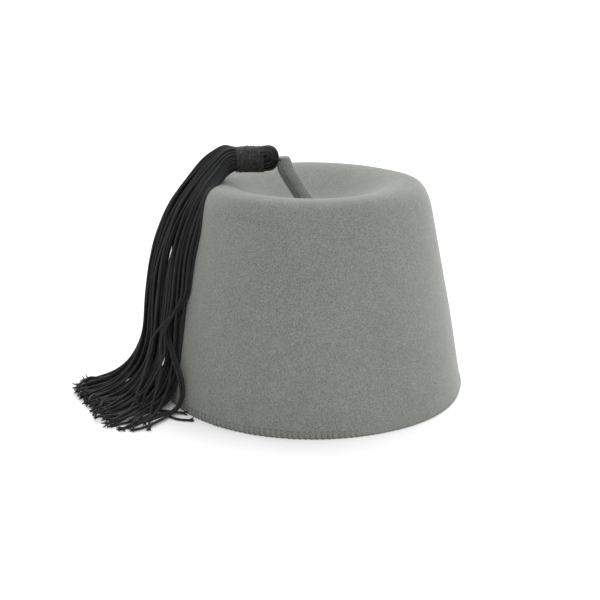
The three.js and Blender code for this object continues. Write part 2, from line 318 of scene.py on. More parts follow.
FINISHES = {
    "grey_felt": {
        "group": felt_group,
        "values": {"Color": FELT_GREY, "Blotch": 0.18, "Fleck": 2.6, "Fibre Scale": 1400.0},
        "bump": (0.5, 0.25 * MM), "roughness": 0.95, "sheen": 0.30, "gloss": 0.5,
    },
    "grey_stitching": {
        "group": cord_group,
        "values": {"Color": STITCH_GREY, "Rib Pitch": 0.5, "Ribs Round": 1.0, "Fade": 0.5},
        "bump": (0.5, 0.06 * MM), "roughness": 0.85, "sheen": 0.1, "gloss": 0.3,
    },
    "black_cord": {
        "group": cord_group,
        "values": {"Color": CORD_BLACK, "Rib Pitch": 0.9, "Ribs Round": 2.0, "Fade": 0.8},
        "bump": (0.6, 0.10 * MM), "roughness": 0.65, "sheen": 0.07, "gloss": 0.25,
    },
    "black_thread": {
        "group": cord_group,
        "values": {
            "Color": THREAD_BLACK,
            "Rib Pitch": 0.45,
            "Ribs Round": 1.0,
            "Fade": 3.4,
            "Wear Scale": 650.0,
        },
        "bump": (0.5, 0.05 * MM), "roughness": 0.65, "sheen": 0.07, "gloss": 0.25,
    },
    "black_tie_cord": {
        "group": cord_group,
        "values": {"Color": TIE_BLACK, "Rib Pitch": 0.8, "Ribs Round": 2.0, "Fade": 0.5},
        "bump": (0.6, 0.10 * MM), "roughness": 0.65, "sheen": 0.05, "gloss": 0.25,
    },
}
materials = {name: new_material(name, **finish) for name, finish in FINISHES.items()}
print("materials:", sorted(materials))

# %% [markdown]
# The crown's outline is the maker's block: a side that leans in with a slight belly, a rounded
# shoulder, a crest and a shallow dish. Side, shoulder and dish are a Bezier curve each, so the
# outline is a few points and not a list. The hat is oval, a little less so at the crest than at
# the rim, and the stitches draw its lower edge in.

# %% Outline of the crown
crown_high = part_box("crown")[1]
BASE_HALF_WIDTH = crown_high.x
OVAL_AT_BASE = crown_high.y / crown_high.x
OVAL_AT_CREST = 1.106
CREST_HEIGHT = crown_high.z
BELLY = (79 * MM, 50 * MM)
SHOULDER = (68.4 * MM, 98 * MM)
CREST = (54 * MM, CREST_HEIGHT)
DISH_DEPTH = 18 * MM
FELT_THICKNESS = 3 * MM
# How far the curves' handles reach, in millimetres
SHOULDER_HANDLE = 12.5
CREST_HANDLES = (9, 16)
DISH_HANDLE = 24
# The stitched edge: how high it is drawn in, by how much, and the rows that shape it
HEM_HEIGHT = 3 * MM
HEM_DRAW = 0.3 * MM
HEM_ROWS = (0, 0.7 * MM, 1.5 * MM, 2.4 * MM)


def bezier(points, samples):
    along = np.linspace(0, 1, samples)[:, None]
    points = np.array(points, float)[:, None, :] * np.ones((1, samples, 1))
    while len(points) > 1:
        points = points[:-1] * (1 - along) + points[1:] * along
    return points[0]


def crown_outline(side_samples, shoulder_samples, dish_samples):
    """Half widths and heights of the side, the rounded shoulder and the dish."""
    belly = np.array(BELLY)
    shoulder = np.array(SHOULDER)
    lean = (shoulder - belly) / np.linalg.norm(shoulder - belly)
    shoulder_end = shoulder + lean * SHOULDER_HANDLE * MM
    crest_out = (CREST[0] + CREST_HANDLES[0] * MM, CREST[1])
    crest_in = (CREST[0] - CREST_HANDLES[1] * MM, CREST[1])
    floor = CREST_HEIGHT - DISH_DEPTH
    side = bezier([(BASE_HALF_WIDTH, 0), belly, shoulder], side_samples)
    round_over = bezier([shoulder, shoulder_end, crest_out, CREST], shoulder_samples)
    dish = bezier([CREST, crest_in, (DISH_HANDLE * MM, floor), (0, floor)], dish_samples)
    return side, round_over, dish


def oval_at(height):
    return OVAL_AT_BASE + (OVAL_AT_CREST - OVAL_AT_BASE) * height / CREST_HEIGHT


def outline_at(height):
    """Half the hat's width at a height on its side, with the drawn-in edge."""
    drawn_in = HEM_DRAW * max(1 - height / HEM_HEIGHT, 0) ** 2
    return np.interp(height, side[:, 1], side[:, 0]) - drawn_in


side, round_over, dish = crown_outline(26, 14, 24)
hem = [(outline_at(z), z) for z in HEM_ROWS]
crown_rows = [(r, r * oval_at(z), z) for r, z in np.vstack([hem, side[1:], round_over[1:]])]
crown_rows += [(r, r * OVAL_AT_CREST, z) for r, z in dish[1:-1]]
print("crown outline has", len(crown_rows), "rows")

# %% [markdown]
# The shell grows from a circle at the rim: each step extrudes the open edge upwards and scales it
# to the next row, and the last ring is drawn together in the middle of the dish. Hand-blocked
# felt is never quite even. So a very slow noise moves the surface by a few tenths of a
# millimetre, and four soft pulls with proportional editing move the crest and the right side by
# about one. Then Solidify gives the shell its wall, and a bevel rounds both edges of its foot.

# %% Crown
CROWN_SIDES = 128
WAVE_SIZE = 55 * MM
WAVE_HEIGHT = 0.5 * MM
HAND_PULLS = [
    {"place": (0.064, 0, 0.110), "shift": (1.1 * MM, 0, 0.9 * MM), "reach": 55 * MM},
    {"place": (0.064, -0.069, 0), "shift": (1.2 * MM, -1.1 * MM, 0), "reach": 70 * MM},
    {"place": (0.078, 0, 0.055), "shift": (0.7 * MM, 0, 0), "reach": 50 * MM},
    {"place": (0, 0.060, 0.118), "shift": (0, 0, 0.4 * MM), "reach": 50 * MM},
]
FOOT_LEVEL = 0.3 * MM
EDGE_ROUNDING = 0.9 * MM


def new_ring(name, sides, radius):
    """A level circle, in edit mode with all of it selected."""
    bpy.ops.object.select_all(action="DESELECT")
    bpy.ops.mesh.primitive_circle_add(vertices=sides, radius=radius, location=(0, 0, 0))
    ring = bpy.context.object
    ring.name = name
    bpy.ops.object.mode_set(mode="EDIT")
    bpy.ops.mesh.select_all(action="SELECT")
    return ring


def extrude_ring(rise, scale, centre):
    bpy.ops.mesh.extrude_region_move(TRANSFORM_OT_translate={"value": (0, 0, rise)})
    bpy.ops.transform.resize(value=(scale[0], scale[1], 1), center_override=centre)


def extrude_to_point(rise):
    bpy.ops.mesh.extrude_region_move(TRANSFORM_OT_translate={"value": (0, 0, rise)})
    bpy.ops.mesh.merge(type="CENTER")


def build_crown():
    first = crown_rows[0]
    crown = new_ring("felt_crown", CROWN_SIDES, first[0])
    bpy.ops.transform.resize(value=(1, first[1] / first[0], 1), center_override=(0, 0, 0))
    for below, above in zip(crown_rows, crown_rows[1:]):
        scale = (above[0] / below[0], above[1] / below[1])
        extrude_ring(above[2] - below[2], scale, (0, 0, above[2]))
    extrude_to_point(dish[-1][1] - crown_rows[-1][2])
    bpy.ops.mesh.select_all(action="SELECT")
    bpy.ops.mesh.normals_make_consistent(inside=False)
    bpy.ops.object.mode_set(mode="OBJECT")
    outer = crown.data.polygons[0]
    if outer.normal.y * outer.center.y < 0:
        bpy.ops.object.mode_set(mode="EDIT")
        bpy.ops.mesh.flip_normals()
        bpy.ops.object.mode_set(mode="OBJECT")
    return crown


def pull_by_hand(crown, place, shift, reach):
    """Moves the vertex nearest to a place and, ever less, the felt round it."""
    nearest = min(crown.data.vertices, key=lambda v: (v.co - Vector(place)).length).index
    clear_selection(crown, "VERT")
    crown.data.vertices[nearest].select = True
    bpy.ops.object.mode_set(mode="EDIT")
    bpy.ops.transform.translate(
        value=shift,
        use_proportional_edit=True,
        proportional_edit_falloff="SMOOTH",
        proportional_size=reach,
    )
    bpy.ops.object.mode_set(mode="OBJECT")


def make_uneven(crown):
    waves = bpy.data.textures.new("felt_waves", "CLOUDS")
    waves.noise_scale = WAVE_SIZE
    waves.noise_depth = 1
    displace = crown.modifiers.new("uneven", "DISPLACE")
    displace.texture = waves
    displace.texture_coords = "LOCAL"
    displace.strength = WAVE_HEIGHT
    displace.mid_level = 0.4
    apply_modifiers(crown)
    for pull in HAND_PULLS:
        pull_by_hand(crown, **pull)


def give_wall(crown):
    """Thickens the shell inwards, and sets the foot of the wall level on the table."""
    solidify = crown.modifiers.new("wall", "SOLIDIFY")
    solidify.thickness = FELT_THICKNESS
    solidify.offset = -1
    solidify.use_even_offset = True
    apply_modifiers(crown)
    for vertex in crown.data.vertices:
        if vertex.co.z < FOOT_LEVEL:
            vertex.co.z = 0


def soften_rim(crown):
    """Rounds both edges of the flat lower face of the wall."""
    clear_selection(crown, "EDGE")
    flat = {v.index for v in crown.data.vertices if v.co.z == 0}
    facing_down = {}
    for polygon in crown.data.polygons:
        is_foot = abs(polygon.normal.z) > 0.9 and polygon.center.z < MM
        for key in polygon.edge_keys:
            facing_down.setdefault(key, set()).add(is_foot)
    for edge in crown.data.edges:
        on_rim = edge.vertices[0] in flat and edge.vertices[1] in flat
        edge.select = on_rim and len(facing_down[edge.key]) == 2
    bpy.ops.object.mode_set(mode="EDIT")
    bpy.ops.mesh.bevel(offset=EDGE_ROUNDING, segments=4, affect="EDGES")
    bpy.ops.object.mode_set(mode="OBJECT")


felt_crown = build_crown()
make_uneven(felt_crown)
give_wall(felt_crown)
soften_rim(felt_crown)
settle(felt_crown, "crown", "grey_felt", "crown")

# %% [markdown]
# The stalk is a strip of felt rolled up tight. It is modelled upright, as a circle extruded to a
# rounded tip, and the roll's free edge is a step in its radius. Then it leans over with its tip
# bent towards the tassel, whose tie cord dents it. A bisect trims its foot level just inside the
# dish, where a real one is sewn through.

# %% Stalk
STALK_SIDES = 36
STALK_LEAN = math.radians(33)
STALK_FOOT = Vector((0, 0, CREST_HEIGHT - DISH_DEPTH))
# Rows up the roll: how far along it, and its radius, both in millimetres
STALK_ROWS = [
    (-7, 5.9), (0, 5.7), (3, 5.2), (7, 4.85), (12, 4.65), (18, 4.6), (23, 4.6), (27, 4.65),
    (30.5, 4.8), (33.4, 4.85), (35.0, 4.65), (36.0, 4.0), (36.4, 2.6), (36.5, 1.1),
]
ROLL_STEP = 1.0 * MM
ROLL_FADE = 4 * MM
ROLL_EDGE_TURN = math.radians(255)
TIP_BEND = 2.6 * MM
TIP_HEIGHT = 130.9 * MM
BEND_START = 22 * MM
BEND_LENGTH = 14.5 * MM
TIP_FLATTENING = 0.75
TIE_DENT = 0.3
TIE_DENT_REACH = 1.5 * MM
TIE_HOLE = Vector((-17.4 * MM, 0, 129.7 * MM))
HEAD_END = Vector((-26.4 * MM, 0, 130 * MM))
HEAD_END_RADIUS = 7.6 * MM


def build_stalk():
    start, radius = STALK_ROWS[0]
    stalk = new_ring("felt_stalk", STALK_SIDES, radius * MM)
    bpy.ops.transform.translate(value=(0, 0, start * MM))
    for (below, radius), (above, next_radius) in zip(STALK_ROWS, STALK_ROWS[1:]):
        scale = next_radius / radius
        extrude_ring((above - below) * MM, (scale, scale), (0, 0, above * MM))
    extrude_to_point(0.1 * MM)
    bpy.ops.object.mode_set(mode="OBJECT")
    return stalk


def shape_stalk(stalk):
    """Gives the roll its free edge, dents it at the tie cord, leans it and presses it to the tassel."""
    for vertex in stalk.data.vertices:
        place = vertex.co
        share = (ROLL_EDGE_TURN - math.atan2(place.y, place.x)) % (2 * math.pi) / (2 * math.pi)
        radius = math.hypot(place.x, place.y)
        fade = min(radius / ROLL_FADE, 1.0)
        grow = 1 + ROLL_STEP * fade * (share - 0.5) / max(radius, MM)
        place.x *= grow
        place.y *= grow
        place.x += TIP_BEND * max((place.z - BEND_START) / BEND_LENGTH, 0) ** 2
    stalk.data.transform(Matrix.Translation(STALK_FOOT) @ Matrix.Rotation(-STALK_LEAN, 4, "Y"))
    for vertex in stalk.data.vertices:
        from_hole = math.hypot(vertex.co.x - TIE_HOLE.x, vertex.co.z - TIE_HOLE.z)
        vertex.co.y *= 1 - TIE_DENT * math.exp(-((from_hole / TIE_DENT_REACH) ** 2))
        vertex.co.z -= TIP_FLATTENING * max(vertex.co.z - TIP_HEIGHT, 0)
        away = vertex.co - HEAD_END
        if away.length < HEAD_END_RADIUS:
            vertex.co = HEAD_END + away.normalized() * HEAD_END_RADIUS


def trim_stalk(stalk):
    select_only(stalk)
    bpy.ops.object.mode_set(mode="EDIT")
    bpy.ops.mesh.select_all(action="SELECT")
    bpy.ops.mesh.bisect(
        plane_co=STALK_FOOT + Vector((0, 0, -0.6 * MM)),
        plane_no=(0, 0, 1),
        clear_inner=True,
        use_fill=True,
    )
    bpy.ops.mesh.select_all(action="SELECT")
    bpy.ops.mesh.normals_make_consistent(inside=False)
    bpy.ops.object.mode_set(mode="OBJECT")
    smooth = stalk.modifiers.new("smooth", "SUBSURF")
    smooth.levels = 1
    smooth.render_levels = 1
    apply_modifiers(stalk)


felt_stalk = build_stalk()
shape_stalk(felt_stalk)
trim_stalk(felt_stalk)
settle(felt_stalk, "stalk", "grey_felt", "stalk", degrees=60)

# %% [markdown]
# Everything else is strand: stitches, thread and cords. One function sweeps a round section along
# many paths at once and joins them into one mesh. The section is carried along each path with as
# little turning as possible, both ends close on a point, and the UV map "strand" follows it.


# %% Sweeping strands
def carry_section(paths, closed):
    """Tangents along each path, and a direction across it that turns as little as possible."""
    if closed:
        tangents = np.roll(paths, -1, 1) - np.roll(paths, 1, 1)
    else:
        tangents = np.gradient(paths, axis=1)
    tangents /= np.linalg.norm(tangents, axis=2, keepdims=True) + 1e-12
    current = np.where(np.abs(tangents[:, 0, 2:3]) < 0.9, (0.0, 0.0, 1.0), (0.0, 1.0, 0.0))
    normals = np.empty_like(paths)
    for station in range(paths.shape[1]):
        tangent = tangents[:, station]
        current = current - (current * tangent).sum(1, keepdims=True) * tangent
        current /= np.linalg.norm(current, axis=1, keepdims=True)
        normals[:, station] = current
    return tangents, normals


def close_ends(paths, radii, tangents, lengths, sides):
    """A point just beyond each end of each strand, and triangles from it to the end's ring."""
    strands, stations = radii.shape
    tips = []
    for station, sign in ((0, -1), (stations - 1, 1)):
        bulge = tangents[:, station] * radii[:, station, None] * 0.5 * sign
        tips.append(paths[:, station] + bulge)
    first = (np.arange(strands) * stations * sides)[:, None] + np.arange(sides)
    last = first + (stations - 1) * sides
    tip_base = strands * stations * sides
    start_tip = np.repeat((tip_base + np.arange(strands))[:, None], sides, 1)
    start_caps = np.stack([start_tip, np.roll(first, -1, 1), first], -1).reshape(-1, 3)
    end_caps = np.stack([start_tip + strands, last, np.roll(last, -1, 1)], -1).reshape(-1, 3)
    uvs = np.zeros((2, strands * sides, 3, 2))
    uvs[1, ..., 1] = np.repeat(lengths[:, -1], sides)[:, None]
    return np.vstack(tips), np.vstack([start_caps, end_caps]), uvs.reshape(-1, 2)


def sweep_strands(name, paths, radii, sides, closed=False):
    """paths: strands x stations x 3, radii: the same without the last axis, both in metres."""
    paths = np.asarray(paths, float)
    radii = np.broadcast_to(radii, paths.shape[:2])
    strands, stations = radii.shape
    tangents, normals = carry_section(paths, closed)
    across = np.cross(tangents, normals)
    turns = 2 * math.pi * np.arange(sides) / sides
    reach = normals[:, :, None] * np.cos(turns)[:, None] + across[:, :, None] * np.sin(turns)[:, None]
    rings = paths[:, :, None] + reach * radii[:, :, None, None]
    steps = np.linalg.norm(np.diff(paths, axis=1), axis=2) / MM
    lengths = np.concatenate([np.zeros((strands, 1)), np.cumsum(steps, 1)], 1)

    base = (np.arange(strands) * stations * sides)[:, None, None]
    spans = stations if closed else stations - 1
    row = base + (np.arange(spans) * sides)[None, :, None]
    next_row = base + ((np.arange(spans) + 1) % stations * sides)[None, :, None]
    corner = np.arange(sides)[None, None, :]
    corner_on = (corner + 1) % sides
    quads = np.stack([row + corner, row + corner_on, next_row + corner_on, next_row + corner], -1)
    around = np.stack([corner, corner + 1, corner + 1, corner], -1) / sides
    around = np.broadcast_to(around, (strands, spans, sides, 4))
    low = lengths[:, :spans, None]
    high = low + lengths[:, 1:2, None] if closed else lengths[:, 1:, None]
    along = np.stack([low, low, high, high], -1) * np.ones((1, 1, sides, 1))
    uvs = np.stack([around, along], -1).reshape(-1, 2)
    vertices = rings.reshape(-1, 3)
    triangles = np.zeros((0, 3), int)
    if not closed:
        tips, triangles, tip_uvs = close_ends(paths, radii, tangents, lengths, sides)
        vertices = np.vstack([vertices, tips])
        uvs = np.vstack([uvs, tip_uvs])
    return make_mesh(name, vertices, quads.reshape(-1, 4), triangles, uvs)


def make_mesh(name, vertices, quads, triangles, uvs):
    mesh = bpy.data.meshes.new(name)
    loops = np.concatenate([quads.ravel(), triangles.ravel()]).astype(np.int32)
    starts = np.concatenate([np.arange(len(quads)) * 4, len(quads) * 4 + np.arange(len(triangles)) * 3])
    mesh.vertices.add(len(vertices))
    mesh.vertices.foreach_set("co", np.asarray(vertices, np.float32).ravel())
    mesh.loops.add(len(loops))
    mesh.loops.foreach_set("vertex_index", loops)
    mesh.polygons.add(len(starts))
    mesh.polygons.foreach_set("loop_start", starts.astype(np.int32))
    mesh.update(calc_edges=True)
    layer = mesh.uv_layers.new(name="strand")
    layer.data.foreach_set("uv", np.asarray(uvs, np.float32).ravel())
    mesh.validate()
    strand = bpy.data.objects.new(name, mesh)
    bpy.context.scene.collection.objects.link(strand)
    return strand


# %% [markdown]
# The rim is overstitched by hand or machine: a thread runs level a few millimetres up the felt,
# and at every stitch a leg drops to the edge and turns under it. One stitch is a path of eleven
# points in the felt's own directions, and a loop sets it round the oval at nearly even spacing.

# %% Rim stitching
STITCH_SPACING = 3.0 * MM
STITCH_HEIGHT = 3.9 * MM
STITCH_RADIUS = 0.38 * MM
STITCH_UNEVENNESS = 0.07
STITCH_HEIGHT_UNEVENNESS = 0.06
# One stitch: steps along the rim in stitch spacings, outwards in thread radii, and height shares
STITCH_SHAPE = [
    (-0.34, -1.3, 1.00), (-0.20, 0.0, 1.00), (0.16, 0.0, 1.00), (0.30, -1.3, 0.98),
    (0.10, -1.3, 0.82), (0.00, -0.1, 0.68), (0.00, 0.2, 0.42), (0.03, 0.1, 0.20),
    (0.14, 0.0, 0.10), (0.36, -0.4, 0.095), (0.48, -1.8, 0.095),
]


def walk_along(path):
    """How far each point of a path lies along it."""
    return np.concatenate([[0], np.cumsum(np.linalg.norm(np.diff(path, axis=0), axis=1))])


def build_rim_stitches(seed=3):
    rng = np.random.default_rng(seed)
    fine = np.linspace(0, 2 * math.pi, 4001)
    rim = np.stack([BASE_HALF_WIDTH * np.cos(fine), BASE_HALF_WIDTH * OVAL_AT_BASE * np.sin(fine)], 1)
    walked = walk_along(rim)
    count = int(walked[-1] / STITCH_SPACING)
    steps = np.arange(count) + rng.uniform(-STITCH_UNEVENNESS, STITCH_UNEVENNESS, count)
    places = steps * walked[-1] / count
    unevenness = rng.uniform(-STITCH_HEIGHT_UNEVENNESS, STITCH_HEIGHT_UNEVENNESS, count)
    heights = STITCH_HEIGHT * (1 + unevenness)
    paths = []
    for place, height in zip(places, heights):
        path = []
        for along, out, rise in STITCH_SHAPE:
            z = height * rise
            turn = np.interp(place + along * STITCH_SPACING, walked, fine, period=walked[-1])
            half_width = outline_at(z) + out * STITCH_RADIUS
            path.append((half_width * math.cos(turn), half_width * oval_at(z) * math.sin(turn), z))
        paths.append(path)
    return sweep_strands("rim_stitches", np.array(paths), STITCH_RADIUS, sides=5)


rim_stitches = build_rim_stitches()
settle(rim_stitches, "crown", "grey_stitching")

# %% [markdown]
# The tassel's head. Forty cords are doubled over the tie cord, so each is a U that lies in
# an upright plane, and the U shapes nest like the layers of an onion. Their legs are packed in
# staggered rows over the upper half of a circle and mirrored below it.

# %% Cords in the head
binding_low, binding_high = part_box("tassel_binding")
HEAD_AXIS_HEIGHT = (binding_low.z + binding_high.z) / 2
BINDING_RADIUS = (binding_high.z - binding_low.z) / 2
CORD_RADIUS = 0.73 * MM
LOOP_EYE_X = -25.9 * MM
PACKED_RADIUS = BINDING_RADIUS - 1.2 * MM
ROW_PITCH = 1.2 * MM
COLUMN_PITCH = 1.25 * MM
FIRST_ROW = 0.55
# In millimetres: how far a cord lies off its even place, and how high the eye of the U shapes rises
PLACE_UNEVENNESS = 0.1
EYE_RISE = 2.5


def head_places(seed=5):
    """Where each doubled cord lies in the head: its depth, and its height above the axis."""
    rng = np.random.default_rng(seed)
    places = []
    height = FIRST_ROW * ROW_PITCH
    stagger = 0.0
    while height < PACKED_RADIUS:
        half = math.sqrt(PACKED_RADIUS**2 - height**2)
        count = int(2 * half / COLUMN_PITCH) + 1
        for column in range(count):
            depth = (column - (count - 1) / 2) * COLUMN_PITCH + stagger
            if abs(depth) <= half:
                wobble = rng.uniform(-PLACE_UNEVENNESS, PLACE_UNEVENNESS, 2) * MM
                places.append((depth + wobble[0], height + wobble[1]))
        height += ROW_PITCH
        stagger = 0.5 * COLUMN_PITCH - stagger
    return np.array(places)


doubled = head_places()
print("doubled cords:", len(doubled), "skirt ends:", 2 * len(doubled))

# %% [markdown]
# The skirt starts from guide lines. Eight sections down the tassel say where its middle is, how
# wide and how deep it is, and how far its inner edge lies forward on the felt; the cord's place in
# the head is its place in every section. The bundle turns a little as it falls, so that cords from
# the front of the head reach the felt side, and neighbours gather in loose clumps. Lower down,
# cords crowd towards both edges of the skirt, so that no light shows between the outer ones.

# %% Guides for the hanging part
# Middle of each section, its half width and half depth, and its lean, all in millimetres
SKIRT_SECTIONS = np.array([
    (-44.2, 0, 130, 6.5, 7.0, 0),
    (-52.8, -2.5, 128.4, 8.8, 9.0, 4),
    (-62.6, -11.5, 117.0, 8.7, 9.6, 12),
    (-71.0, -19.5, 102.0, 12.1, 9.8, 15),
    (-78.1, -24, 79.9, 13.5, 9.8, 12.5),
    (-81.0, -28.5, 56.8, 13.7, 9.9, 12),
    (-83.1, -32, 34, 13.2, 10.2, 12.5),
    (-85.9, -34.5, 8, 13.0, 10.2, 12.5),
])
SKIRT_TWIST = math.radians(44)
CLUMPS = 17
CLUMP_PULL = 0.15
EDGE_FILL = 0.25
# Where along the fall each effect starts, and the stretch over which it grows, as shares
TWIST_STRETCH = (0, 0.17)
CLUMP_STRETCH = (0.08, 0.3)
FILL_STRETCH = (0.45, 0.25)
SWAY_STRETCH = (0.05, 0.25)
POINT_SPACING = 1.9


def ease(share):
    share = np.clip(share, 0, 1)
    return share * share * (3 - 2 * share)


def grown(along, start, stretch):
    return ease((along - start) / stretch)


def smooth_through(points, along):
    """A Catmull-Rom curve through points at equal steps of a parameter from 0 to 1."""
    points = np.asarray(points, float)
    padded = np.vstack([2 * points[0] - points[1], points, 2 * points[-1] - points[-2]])
    place = np.clip(np.asarray(along, float), 0, 1) * (len(points) - 1)
    span = np.minimum(place.astype(int), len(points) - 2)
    t = (place - span)[:, None]
    a, b, c, d = (padded[span + k] for k in range(4))
    square = 2 * a - 5 * b + 4 * c - d
    cube = 3 * b - a - 3 * c + d
    return 0.5 * (2 * b + (c - a) * t + square * t**2 + cube * t**3)


def even_points(path, spacing, count):
    """Points at even spacing along a path, which is carried on straight if it is too short."""
    walked = walk_along(path)
    wanted = np.arange(count) * spacing
    points = np.stack([np.interp(wanted, walked, path[:, k]) for k in range(3)], 1)
    beyond = wanted > walked[-1]
    last_way = path[-1] - path[-2]
    last_way /= np.linalg.norm(last_way) + 1e-9
    points[beyond] = path[-1] + last_way * (wanted[beyond] - walked[-1])[:, None]
    return points


def turned(places):
    """Places in the bundle, as width and depth shares, after its whole turn."""
    cos, sin = math.cos(SKIRT_TWIST), math.sin(SKIRT_TWIST)
    width, depth = places[:, 0], places[:, 1]
    return np.stack([width * cos - depth * sin, depth * cos + width * sin], 1)


def clump_centres(places, count):
    """Spreads clumps over the bundle, far from one another, and gives each cord its clump's centre."""
    chosen = [int(np.argmin(places[:, 1]))]
    while len(chosen) < count:
        away = np.linalg.norm(places[:, None] - places[chosen][None], axis=2).min(1)
        chosen.append(int(away.argmax()))
    nearest = np.linalg.norm(places[:, None] - places[chosen][None], axis=2).argmin(1)
    return np.array([places[nearest == group].mean(0) for group in range(count)])[nearest]


def hanging_guide(start, clump, sway):
    """One cord's fall: sway holds a width, a number of waves, and where two waves start."""
    along = np.linspace(0, 1, 90)
    middle = smooth_through(SKIRT_SECTIONS[:, :3], along)
    spread = smooth_through(SKIRT_SECTIONS[:, 3:], along)
    turn = SKIRT_TWIST * grown(along, *TWIST_STRETCH)
    width = start[0] * np.cos(turn) - start[1] * np.sin(turn)
    depth = start[1] * np.cos(turn) + start[0] * np.sin(turn)
    gather = CLUMP_PULL * grown(along, *CLUMP_STRETCH)
    width = width + (clump[0] - width) * gather
    depth = depth + (clump[1] - depth) * gather
    width = width + EDGE_FILL * grown(along, *FILL_STRETCH) * width * (1 - width**2)
    grow = grown(along, *SWAY_STRETCH)
    width = width + grow * sway[0] * np.sin(2 * math.pi * (sway[1] * along + sway[2]))
    depth = depth + grow * sway[0] * np.sin(2 * math.pi * (sway[1] * along + sway[3]))
    way = np.gradient(middle, axis=0)
    inward = np.stack([-way[:, 2], np.zeros(len(way)), way[:, 0]], 1)
    inward /= np.linalg.norm(inward, axis=1, keepdims=True)
    guide = middle + inward * (width * spread[:, 0])[:, None]
    guide[:, 1] += depth * spread[:, 1] - width * spread[:, 2]
    return guide


# %% [markdown]
# Near the table each guide turns away from the hat and lies down. The ends lie along a fan's edge,
# given as a reach for each heading round one pivot on the table. Cords on the far side of the
# bundle start to turn higher up and end on top of the pile; those next to the felt go under it.

# %% Guides for the landing
# The fan: its pivot in millimetres, its middle heading, how far headings spread, and its edge
FAN_PIVOT = (-92.0, -30.0)
FAN_MIDDLE = 219.0
FAN_BY_WIDTH = 54.0
FAN_BY_DEPTH = 30.0
FAN_BY_CHANCE = 7
FAN_LIMITS = (152, 277)
FAN_HEADINGS = (155, 171, 189, 205, 220, 234, 246, 256, 268, 280)
FAN_REACHES = (42, 42, 40, 38, 38, 44, 50, 56, 60, 59)
# The pile: height of a cord's middle on the table, and how much higher the topmost cord lies
TABLE_REST = 0.7
PILE_HEIGHT = 5.0
# The bend above the table: its reach, and the height where it starts, for the lowest cord, and
# what the topmost one adds to each. The bend takes at most a share of the way to the cord's end
BEND_REACH = (17, 17)
BEND_TOP = (20, 24)
BEND_SHARE = 0.8
# Limits of a cord's own sway: its width as a share of the bundle's, and its number of waves
SWAY_WIDTHS = (0.03, 0.09)
SWAY_WAVES = (1.0, 2.4)


def landing_guide(start, end, top, bow):
    """From where a cord starts to turn, down to the table and out along it to its end."""
    bed = TABLE_REST + PILE_HEIGHT * top
    over = np.array(end) - start[:2]
    distance = np.linalg.norm(over)
    way = over / distance
    reach = min(BEND_REACH[0] + BEND_REACH[1] * top, BEND_SHARE * distance)
    turn = np.linspace(0, math.pi / 2, 14)[1:]
    out = np.concatenate([reach * (1 - np.cos(turn)), np.linspace(reach, distance, 16)[1:]])
    share = np.clip((out - reach) / (distance - reach), 0, 1)
    rise = np.concatenate([bed + (start[2] - bed) * (1 - np.sin(turn)), np.zeros(15)])
    rise = np.where(share > 0, TABLE_REST + (bed - TABLE_REST) * (1 - 0.5 * share), rise)
    aside = bow * np.sin(math.pi * share * 1.3)
    x = start[0] + way[0] * out - way[1] * aside
    y = start[1] + way[1] * out + way[0] * aside
    return np.stack([x, y, rise], 1)


def cord_guide(start, clump, rng):
    """A cord's whole guide, and how far from the pivot it may reach on the table."""
    sway = (rng.uniform(*SWAY_WIDTHS), rng.uniform(*SWAY_WAVES), rng.uniform(), rng.uniform())
    hanging = hanging_guide(start, clump, sway)
    width, depth = clump + (turned(start[None])[0] - clump) * (1 - CLUMP_PULL)
    heading = FAN_MIDDLE + FAN_BY_WIDTH * width - FAN_BY_DEPTH * depth
    heading = np.clip(heading + rng.normal(0, FAN_BY_CHANCE), *FAN_LIMITS)
    reach = np.interp(heading, FAN_HEADINGS, FAN_REACHES) + np.clip(rng.normal(-2, 3), -9, 1)
    heading = math.radians(heading)
    end = (FAN_PIVOT[0] + reach * math.cos(heading), FAN_PIVOT[1] + reach * math.sin(heading))
    outward = width * math.cos(heading) + 0.6 * depth * math.sin(heading)
    top = np.clip(0.5 + 0.5 * outward + rng.uniform(-0.12, 0.12), 0, 1)
    cut = int(np.argmax(hanging[:, 2] < BEND_TOP[0] + BEND_TOP[1] * top))
    landing = landing_guide(hanging[cut - 1], end, top, np.clip(rng.normal(0, 3.5), -7, 7))
    return np.vstack([hanging[:cut], landing]), reach
